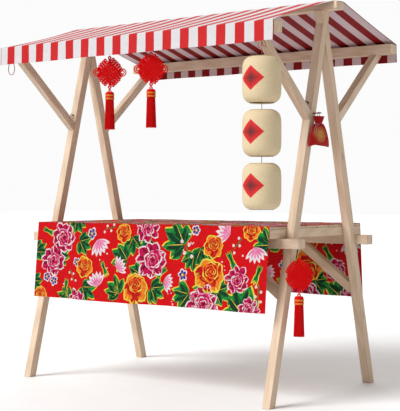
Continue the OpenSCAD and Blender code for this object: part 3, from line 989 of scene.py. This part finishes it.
def circle(centre, radius, a, b, start=0.0, sweep=math.tau, count=28, closed=True):
    """Points on a circle in the plane of the directions a and b."""
    steps = count if closed else count + 1
    return [
        Vector(centre) + Vector(a) * (radius * math.cos(start + sweep * k / count))
        + Vector(b) * (radius * math.sin(start + sweep * k / count)) for k in range(steps)]


def make_screw_eyes():
    """A wire ring, its shank and a small flange over each hung piece."""
    shape = Shape()
    for centre in (LANTERN_EYE, *KNOT_EYES.values()):
        shape.tube(circle(centre, EYE_R, (0, 1, 0), (0, 0, 1)), WIRE, 10, closed=True)
        shank = [centre + up(h) for h in (0.0072, 0.009, 0.0110, 0.0125)]
        shape.tube(shank, [WIRE, WIRE, WIRE * 1.1, WIRE * 1.1], 10)
        flange = [(0.0016, 0.0112), (0.0040, 0.0114), (0.0042, 0.0120), (0.0040, 0.0124), (0.0016, 0.0124)]
        shape.lathe(flange, centre, 20)
    place(shape.make("screw_eye_wire", [BRIGHT_STEEL]), "stall", "bright_steel", "screw_eyes")


def make_leg_hooks():
    """A dark ring with a short curled tail on each post's outer face."""
    shape = Shape()
    z, radius, wire = 1.485, 0.008, 0.002
    for end in (-1, 1):
        for side in (-1, 1):
            centre = at(end * 0.808, side * 0.1449, z)
            out = Vector((0, side, 0))
            start, sweep = math.radians(-25), math.radians(330)
            ring = circle(centre, radius, -out, (0, 0, 1), start, sweep, 30, closed=False)
            curl = ((0.004, 0.0006), (0.010, 0.0012), (0.017, 0.0010))
            tail = [ring[-1] + up(-low) - out * inward for low, inward in curl]
            sizes = [wire] * len(ring) + [wire * 0.9, wire * 0.7, wire * 0.35]
            shape.tube(ring + tail, sizes, 10)
            root = at(end * 0.808, side * 0.1284, z)
            shape.tube([root, centre - out * (radius - 0.001)], wire, 10)
            shape.tube([root - out * 0.0005, root + out * 0.0022], 0.0045, 16)
    place(shape.make("leg_hook_rings", [DARK_STEEL]), "stall", "dark_steel", "leg_hooks")


make_screw_eyes()
make_leg_hooks()


# ---------------------------------------------------------------- lanterns

LANTERN_TOPS = {"top": 1.673, "middle": 1.423, "bottom": 1.173}
LANTERN_H, LANTERN_R, RIM_R = 0.219, 0.093, 0.058
LANTERN_GAP = 0.031
RIBS = 20
# How far a cord goes into a lantern, to the bar it is tied to
TUCK = 0.0046


def lantern_profile():
    """Half outline of the ribbed paper barrel, with rims sunk at both ends."""
    side = []
    for k in range(RIBS * 4 + 1):
        a = -math.pi / 2 + math.pi * k / (RIBS * 4)
        z = (LANTERN_H / 2 - 0.0015) * math.sin(a)
        r = RIM_R + (LANTERN_R - 0.0006 - RIM_R) * max(1 - abs(math.sin(a)) ** 6, 0) ** 0.75
        groove = abs(math.sin(math.pi * RIBS * (z / LANTERN_H + 0.5)))
        side.append((r - 0.0012 * (1 - groove), z))
    half = LANTERN_H / 2
    low = [(0.003, -half + 0.007), (RIM_R - 0.005, -half + 0.006)]
    low += [(RIM_R - 0.0035, -half + 0.001), (RIM_R - 0.001, -half)]
    high = [(r, -z) for r, z in low[::-1]]
    return low + side + high


def make_lantern(name, top):
    """A ribbed paper barrel with a rim and a bar across at both ends."""
    half = LANTERN_H / 2
    centre = at(LANTERN_X, LANTERN_Y, top - half)
    shape = Shape()
    shape.lathe(lantern_profile(), centre, 72)
    # The bottom rim takes the dark ring material as painted shade under the lantern; the top rim is paper
    # cord
    for z, wire, ink in ((half - 0.0022, 0.0022, 1), (-half + 0.0020, 0.0020, 2)):
        rim = circle(centre + up(z), RIM_R - 0.001, (1, 0, 0), (0, 1, 0), count=60)
        shape.tube(rim, wire, 8, closed=True, ink=ink)
    reach = Vector((RIM_R - 0.003, 0, 0))
    for z in (half - TUCK, -half + TUCK):
        middle = centre + up(z)
        shape.tube([middle - reach, middle + reach], 0.0013, 8, ink=2)
    obj = shape.make("lantern_" + name + "_paper", [PAPER, PAPER_RIM, DARK_RING], origin=centre, sharp=50)
    place(obj, "lantern_string", "lantern_paper", "lantern_" + name)


for name, top in LANTERN_TOPS.items():
    make_lantern(name, top)


def straight_cord(name, start, top):
    """A taut cord from a place down into the lantern with this top, at its real length."""
    end = at(LANTERN_X, LANTERN_Y, top - TUCK)
    shape = Shape()
    path = [start.lerp(end, k / 15) for k in range(16)]
    shape.tube(path, 0.0015, 8)
    obj = shape.make("lantern_cord_" + name, [ROSE_CORD])
    place(obj, "lantern_string", "red_cord", "lantern_cords")


def make_lantern_cords():
    loop = LANTERN_EYE - up(EYE_TO_LOOP)
    ties = Shape()
    ties.tube(circle(loop, EYE_R, (1, 0, 0), (0, 0, 1)), WIRE, 8, closed=True)
    knot = loop - up(EYE_R + 0.001)
    lump = [(0.0012, -0.004), (0.0032, -0.0026), (0.0038, 0), (0.0030, 0.0026), (0.0012, 0.004)]
    ties.lathe(lump, knot, 14)
    for side in (-1, 1):
        middle = knot + Vector((side * 0.011, 0, -0.021))
        lean = Vector((side * 0.42, 0, -1)).normalized()
        wide = Vector((1, 0, 0.42 * side)).normalized()
        bow = [middle + lean * (0.020 * math.cos(a)) + wide * (0.0075 * math.sin(a)) for a in turns(24)]
        ties.tube(bow, 0.0013, 7, closed=True)
    bow_piece = ties.make("lantern_bow", [ROSE_CORD])
    place(bow_piece, "lantern_string", "red_cord", "lantern_cords")
    straight_cord("upper", knot, LANTERN_TOPS["top"])
    for name, lantern in (("middle", "middle"), ("lower", "bottom")):
        top = LANTERN_TOPS[lantern]
        straight_cord(name, at(LANTERN_X, LANTERN_Y, top + LANTERN_GAP + TUCK), top)


make_lantern_cords()


# ---------------------------------------------------------------- knots

KNOT_DROP = 0.1147
KNOT_HALF = 0.0594
KNOT_TOP = 0.085
RING_AT, LOOP_AT = 0.066, 0.076
RING_WIRE = 0.0030
WEAVE_CORDS = 12
CORD_R = 0.0033
EAR_R = 0.0038
WEAVE_TURN = math.radians(37)


def weave_path(family):
    """One cord laid to and fro across a knot, over and under the other family.

    Each place is (along, across, height, radius)."""
    side = KNOT_HALF * math.sqrt(2)
    pitch = side / WEAVE_CORDS
    rise = 0.0027 if family else -0.0027
    path = []
    for i in range(WEAVE_CORDS):
        offset = (i + 0.5) * pitch - side / 2
        steps = WEAVE_CORDS * 3
        run = [k / steps for k in range(steps + 1)]
        sign = rise * (-1) ** i
        line = [((t - 0.5) * side, offset, sign * math.sin(math.pi * t * WEAVE_CORDS), CORD_R) for t in run]
        outward = 1 if i % 2 == 0 else -1
        path += line if outward > 0 else line[::-1]
        if i < WEAVE_CORDS - 1:
            middle = offset + pitch / 2
            corner = max(0.0, outward * middle / (side / 2) - 0.15)
            reach = side / 2 + 0.0195 - 0.0150 * corner
            lift = 0.0014 * (-1) ** (i // 2)
            near, far = side / 2 + 0.004, reach - 0.0065
            path += [(outward * x, middle - y, 0, EAR_R) for x, y in ((near, 0.0040), (far, 0.0039))]
            for k in range(11):
                a = math.radians(-142 + 284 * k / 10)
                where = outward * (reach + 0.0052 * math.cos(a)), middle + 0.0052 * math.sin(a)
                path.append((*where, lift, EAR_R))
            path += [(outward * x, middle + y, 0, EAR_R) for x, y in ((far, 0.0039), (near, 0.0040))]
    return path


def knot_frame(eye):
    """A knot's middle, and its directions to the right and to the front."""
    across = Vector((math.cos(WEAVE_TURN), math.sin(WEAVE_TURN), 0))
    front = Vector((math.sin(WEAVE_TURN), -math.cos(WEAVE_TURN), 0))
    return eye - up(KNOT_DROP), across, front


def make_knot(name, body, eye, rings):
    """Two families of cord woven on the slant, rows of loops, and its ring in the eye."""
    middle, across, front = knot_frame(eye)
    root = math.sqrt(0.5)
    rising, falling = (across + up(1)) * root, (across - up(1)) * root
    shape = Shape()
    for family in (0, 1):
        run, step = (rising, falling) if family else (falling, rising)
        laid = weave_path(family)
        path = [middle + run * a + step * b + front * c for a, b, c, r in laid]
        shape.tube(path, np.array([r for a, b, c, r in laid]), 7)
    for side in (-1, 1):
        ear = middle + across * (side * RING_AT)
        for radius in (0.0188, 0.0092) if rings else ():
            shape.tube(circle(ear, radius, across, up(1), count=34), RING_WIRE, 7, closed=True)
        loop = middle + up(side * LOOP_AT)
        shape.tube(circle(loop, 0.0064, across, up(1), count=20), EAR_R, 7, closed=True)
        for aside in (-0.0027, 0.0027):
            start = middle + up(side * (LOOP_AT - 0.030)) + across * aside
            shape.tube([start, start + up(side * 0.013), start + up(side * 0.0255)], EAR_R, 7)
    hang = eye - up(EYE_TO_LOOP)
    shape.tube(circle(hang, EYE_R, (1, 0, 0), (0, 0, 1)), WIRE, 8, closed=True)
    top = middle + up(KNOT_TOP - 0.002)
    shape.tube([hang - up(EYE_R), hang.lerp(top, 0.5), top], WIRE, 8)
    obj = shape.make(name + "_weave", [RED_SILK], sharp=80)
    place(obj, body, "red_cord", name)


def tassel_head(shape, top):
    """Crossed cords, a round wrapped head with two gold bands below them."""
    across = knot_frame(top)[1]
    shape.tube([top, top - up(0.009), top - up(0.018)], 0.0026, 8)
    for side in (-1, 1):
        route = [(0.0, -0.002), (0.0048, -0.006), (0.0074, -0.011), (0.0082, -0.0175)]
        shape.tube([top + across * (side * x) + up(z) for x, z in route], 0.0023, 7)
    head = [(0.006, -0.0160), (0.0150, -0.0166), (0.0200, -0.0190), (0.0222, -0.0235)]
    head += [(0.0224 + 0.0005 * math.cos(2.6 * k), -0.0255 - k * 0.0011) for k in range(26)]
    head += [(0.0218, -0.0555), (0.0212, -0.0575), (0.0180, -0.0580)]
    shape.lathe(head, top, 34)
    for z in (-0.0330, -0.0495):
        for k in range(3):
            bulge = 0.0228 + 0.0008 * (k == 1)
            band = circle(top + up(z - 0.0026 * k), bulge, (1, 0, 0), (0, 1, 0), count=30)
            shape.tube(band, 0.0015, 7, closed=True, ink=1)


def make_tassel(name, body, eye, seed):
    """A wound head, and a straight bundle of threads below it."""
    rnd = random.Random(seed)
    top = eye - up(KNOT_DROP + KNOT_TOP + 0.0001)
    shape = Shape()
    tassel_head(shape, top)
    length, start = 0.2125, 0.052

    def radius(t):
        return 0.0212 + 0.0056 * t

    core = [(0.004, -start)]
    core += [(radius(k / 8) - 0.0024, -start - 0.002 - k / 8 * (length - start - 0.0035)) for k in range(9)]
    shape.lathe(core, top, 40, ink=2, wave=lambda a, z: 1 + 0.02 * math.cos(17 * a))
    count = 92
    for k in range(count):
        a = math.tau * k / count
        inner = 1.0 if k % 2 else 0.95
        drift = rnd.uniform(-0.04, 0.04)
        end = length - rnd.uniform(0, 0.0022)
        line = []
        for j in range(7):
            t = j / 6
            r = radius(t) * inner - 0.0010 + 0.0004 * math.sin(3 * t + k)
            b = a + drift * t + 0.02 * math.sin(5 * t + 1.7 * k)
            line.append(top + Vector((r * math.cos(b), r * math.sin(b), -start - (end - start) * t)))
        shape.tube(line, 0.0012, 4, ink=2)
    obj = shape.make(name + "_threads", [RED_SILK, GOLD_THREAD, RED_THREAD], sharp=80)
    place(obj, body, "red_thread", name)


for word, eye in KNOT_EYES.items():
    body = word + "_knot"
    make_knot("knot_" + word, body, eye, rings=word != "side")
    make_tassel("tassel_" + word, body, eye, len(word))


# ---------------------------------------------------------------- pouch

POUCH_X, POUCH_Y, POUCH_LOW, POUCH_H = 0.8603, -0.1187, 1.2632, 0.152
NECK = 0.112
PEG_Z, PEG_R, PEG_GAP = 1.432, 0.003, 0.0003
HANG_R = 0.0108


def pouch_ring(z, count):
    """One level of the bag: a flattened outline, pleated near its neck."""
    belly = np.clip((NECK - z) / NECK, 0, 1)
    points = []
    for a in turns(count):
        ca, sa = math.cos(a), math.sin(a)
        if z <= NECK:
            wide = 0.0165 + 0.0570 * belly ** 0.45 * (1 - 0.05 * (1 - min(z / 0.018, 1)) ** 2)
            deep = 0.0110 + 0.0170 * belly ** 0.5 * min((z + 0.004) / 0.034, 1) ** 0.5
            pleat = 0.10 * (1 - belly) ** 1.5 * math.cos(14 * a)
            sag = 0.03 * belly * math.cos(5 * a + 40 * z)
        else:
            rise = (z - NECK) / (POUCH_H - NECK)
            wide = 0.0165 + 0.0165 * rise ** 0.7
            deep = 0.0105 + 0.0055 * rise ** 0.7
            pleat = (0.10 + 0.16 * rise) * math.cos(14 * a + 0.8 * rise)
            sag = 0
        x = deep * math.copysign(abs(ca) ** 0.85, ca) * (1 + pleat + sag)
        x *= 0.80 if x < 0 else 1.12
        y = wide * math.copysign(abs(sa) ** 0.85, sa) * (1 + pleat * 0.5)
        points.append((x, y, z))
    return points


def make_bag():
    """The bag: one closed skin from its bottom up to the ruffle and down inside its mouth."""
    count = 84
    origin = at(POUCH_X, POUCH_Y, POUCH_LOW + POUCH_H / 2)
    base = at(POUCH_X, POUCH_Y, POUCH_LOW)
    levels = [0.0, 0.0015, 0.004, 0.008] + [0.013 + 0.0058 * k for k in range(17)]
    levels += [NECK + 0.002, NECK + 0.006, NECK + 0.012, NECK + 0.020, NECK + 0.029, NECK + 0.037]
    turn = Matrix.Rotation(math.radians(-12), 3, "Z")
    verts, faces = [], []
    for z in levels:
        for x, y, h in pouch_ring(z, count):
            drop = 0.010 * max(0, 1 - z / 0.03) * (abs(y) / 0.07) ** 3
            verts.append(base + turn @ Vector((x, y, h + 0.006 * max(0, 1 - z / 0.03) - drop + 0.004)))
    n = len(levels)
    for i in range(n - 1):
        faces += ring_faces(i * count, (i + 1) * count, count)
    faces.append(tuple(range(count))[::-1])
    inside = len(verts)
    for z, share in ((POUCH_H - 0.004, 0.90), (NECK + 0.010, 0.80)):
        for x, y, h in pouch_ring(z, count):
            verts.append(base + turn @ Vector((x * share, y * share, h)))
    for low, high in ((n - 1) * count, inside), (inside, inside + count):
        faces += ring_faces(low, high, count)
    faces.append(tuple(inside + count + k for k in range(count)))
    shape = Shape()
    shape.add(verts, faces)
    bag = shape.make("pouch_bag", [POUCH], sharp=80, origin=origin)
    place(bag, "stall", "pouch_cloth", "pouch")


def make_pouch_ties():
    """Two turns of cord round the neck, and the ring that hangs on the peg."""
    ring = Shape()
    neck = at(POUCH_X, POUCH_Y, POUCH_LOW + NECK + 0.003)
    for lap in range(2):
        loop = [neck + Vector((0.0118 * math.cos(a), 0.0182 * math.sin(a), 0.0022 * lap - 0.001))
                for a in turns(40)]
        ring.tube(loop, 0.0013, 7, closed=True)
    hang = at(POUCH_X, POUCH_Y, PEG_Z + PEG_R + PEG_GAP + WIRE - HANG_R)
    ring.tube(circle(hang, HANG_R, (0, 1, 0), (0, 0, 1)), WIRE, 8, closed=True)
    place(ring.make("pouch_ties", [RED_SILK]), "stall", "pouch_cloth", "pouch")


def make_peg():
    peg = Shape()
    start = at(0.831, POUCH_Y, PEG_Z)
    turned = [(0.0, PEG_R), (0.001, PEG_R), (0.040, PEG_R)]
    turned += [(0.0405, 0.0029), (0.0448, 0.0029), (0.0460, 0.0020)]
    peg.tube([start + Vector((x, 0, 0)) for x, r in turned], [r for x, r in turned], 16)
    place(peg.make("pouch_peg_pin", [DARK_STEEL]), "stall", "dark_steel", "pouch_peg")


def smooth_line(points, steps):
    """A smooth line through the points, with this many pieces between each two."""
    ends = [points[0] * 2 - points[1]] + points + [points[-1] * 2 - points[-2]]
    line = []
    for p, q, r, s in zip(ends, ends[1:], ends[2:], ends[3:]):
        for k in range(steps):
            t = k / steps
            line.append(0.5 * (2 * q + (r - p) * t + (2 * p - 5 * q + 4 * r - s) * t ** 2
                               + (3 * q - p - 3 * r + s) * t ** 3))
    return line + [points[-1]]


def make_drawstrings():
    """Two thin drawstring loops that hang from the sides of the pouch's neck."""
    neck = at(POUCH_X, POUCH_Y, POUCH_LOW + NECK + 0.003)
    half = [(0.019, 0), (0.027, 0.001), (0.036, -0.004), (0.044, -0.013), (0.049, -0.025), (0.0505, -0.038),
            (0.0485, -0.049), (0.0435, -0.054)]
    for name, side in (("front", -1), ("back", 1)):
        route = [(y * side, z + 0.0004, 0.004) for y, z in half]
        route += [((y - 0.006) * side, z - 0.0045, 0.0085) for y, z in half[-2::-1]]
        points = smooth_line([neck + Vector((x + 0.006, y, z)) for y, z, x in route], 4)
        shape = Shape()
        shape.tube(points, 0.0010, 7)
        obj = shape.make("drawstring_" + name, [GREY_CORD], sharp=80)
        place(obj, "stall", "pouch_cloth")
        length = sum((b - a).length for a, b in zip(points, points[1:]))
        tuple(points[0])


make_bag()
make_pouch_ties()
make_peg()
make_drawstrings()


# ---------------------------------------------------------------- stage

FLOOR_REACH, FLOOR_Z = 40, -0.0005


def soft_sun(name, towards, strength, spread, tint):
    sun = bpy.data.lights.new(name, "SUN")
    sun.energy = strength
    sun.angle = math.radians(spread)
    sun.color = tint
    add_object(name, sun).rotation_euler = Vector(towards).to_track_quat("-Z", "Y").to_euler()


def make_floor():
    floor = Shape()
    corners = [(-1, -1), (1, -1), (1, 1), (-1, 1)]
    floor.add([(FLOOR_REACH * x, FLOOR_REACH * y, FLOOR_Z) for x, y in corners], [(0, 1, 2, 3)])
    floor.make("floor", [floor_material()])


def make_studio():
    """Warm light from all round, seen by the camera as plain white, and two soft suns."""
    world = bpy.data.worlds.new("studio")
    world.use_nodes = True
    tree = world.node_tree
    sky = tree.nodes["Background"]
    seen = tree.nodes.new("ShaderNodeLightPath").outputs["Is Camera Ray"]
    tint = tree.nodes.new("ShaderNodeMix")
    tint.data_type = "RGBA"
    tint.inputs[6].default_value = (1.0, 0.95, 0.89, 1)
    tint.inputs[7].default_value = (1, 1, 1, 1)
    tree.links.new(seen, tint.inputs[0])
    tree.links.new(tint.outputs[2], sky.inputs[0])
    strength = tree.nodes.new("ShaderNodeMapRange")
    strength.inputs["To Min"].default_value = 0.46
    strength.inputs["To Max"].default_value = 0.97
    tree.links.new(seen, strength.inputs["Value"])
    tree.links.new(strength.outputs[0], sky.inputs[1])
    bpy.context.scene.world = world
    soft_sun("key", (0.42, 0.90, -0.80), 3.0, 32, (1.0, 0.985, 0.97))
    soft_sun("back_fill", (0.60, -0.90, -0.75), 0.9, 50, (1.0, 0.99, 0.98))
    bpy.context.scene.view_settings.view_transform = "Standard"


make_floor()
make_studio()
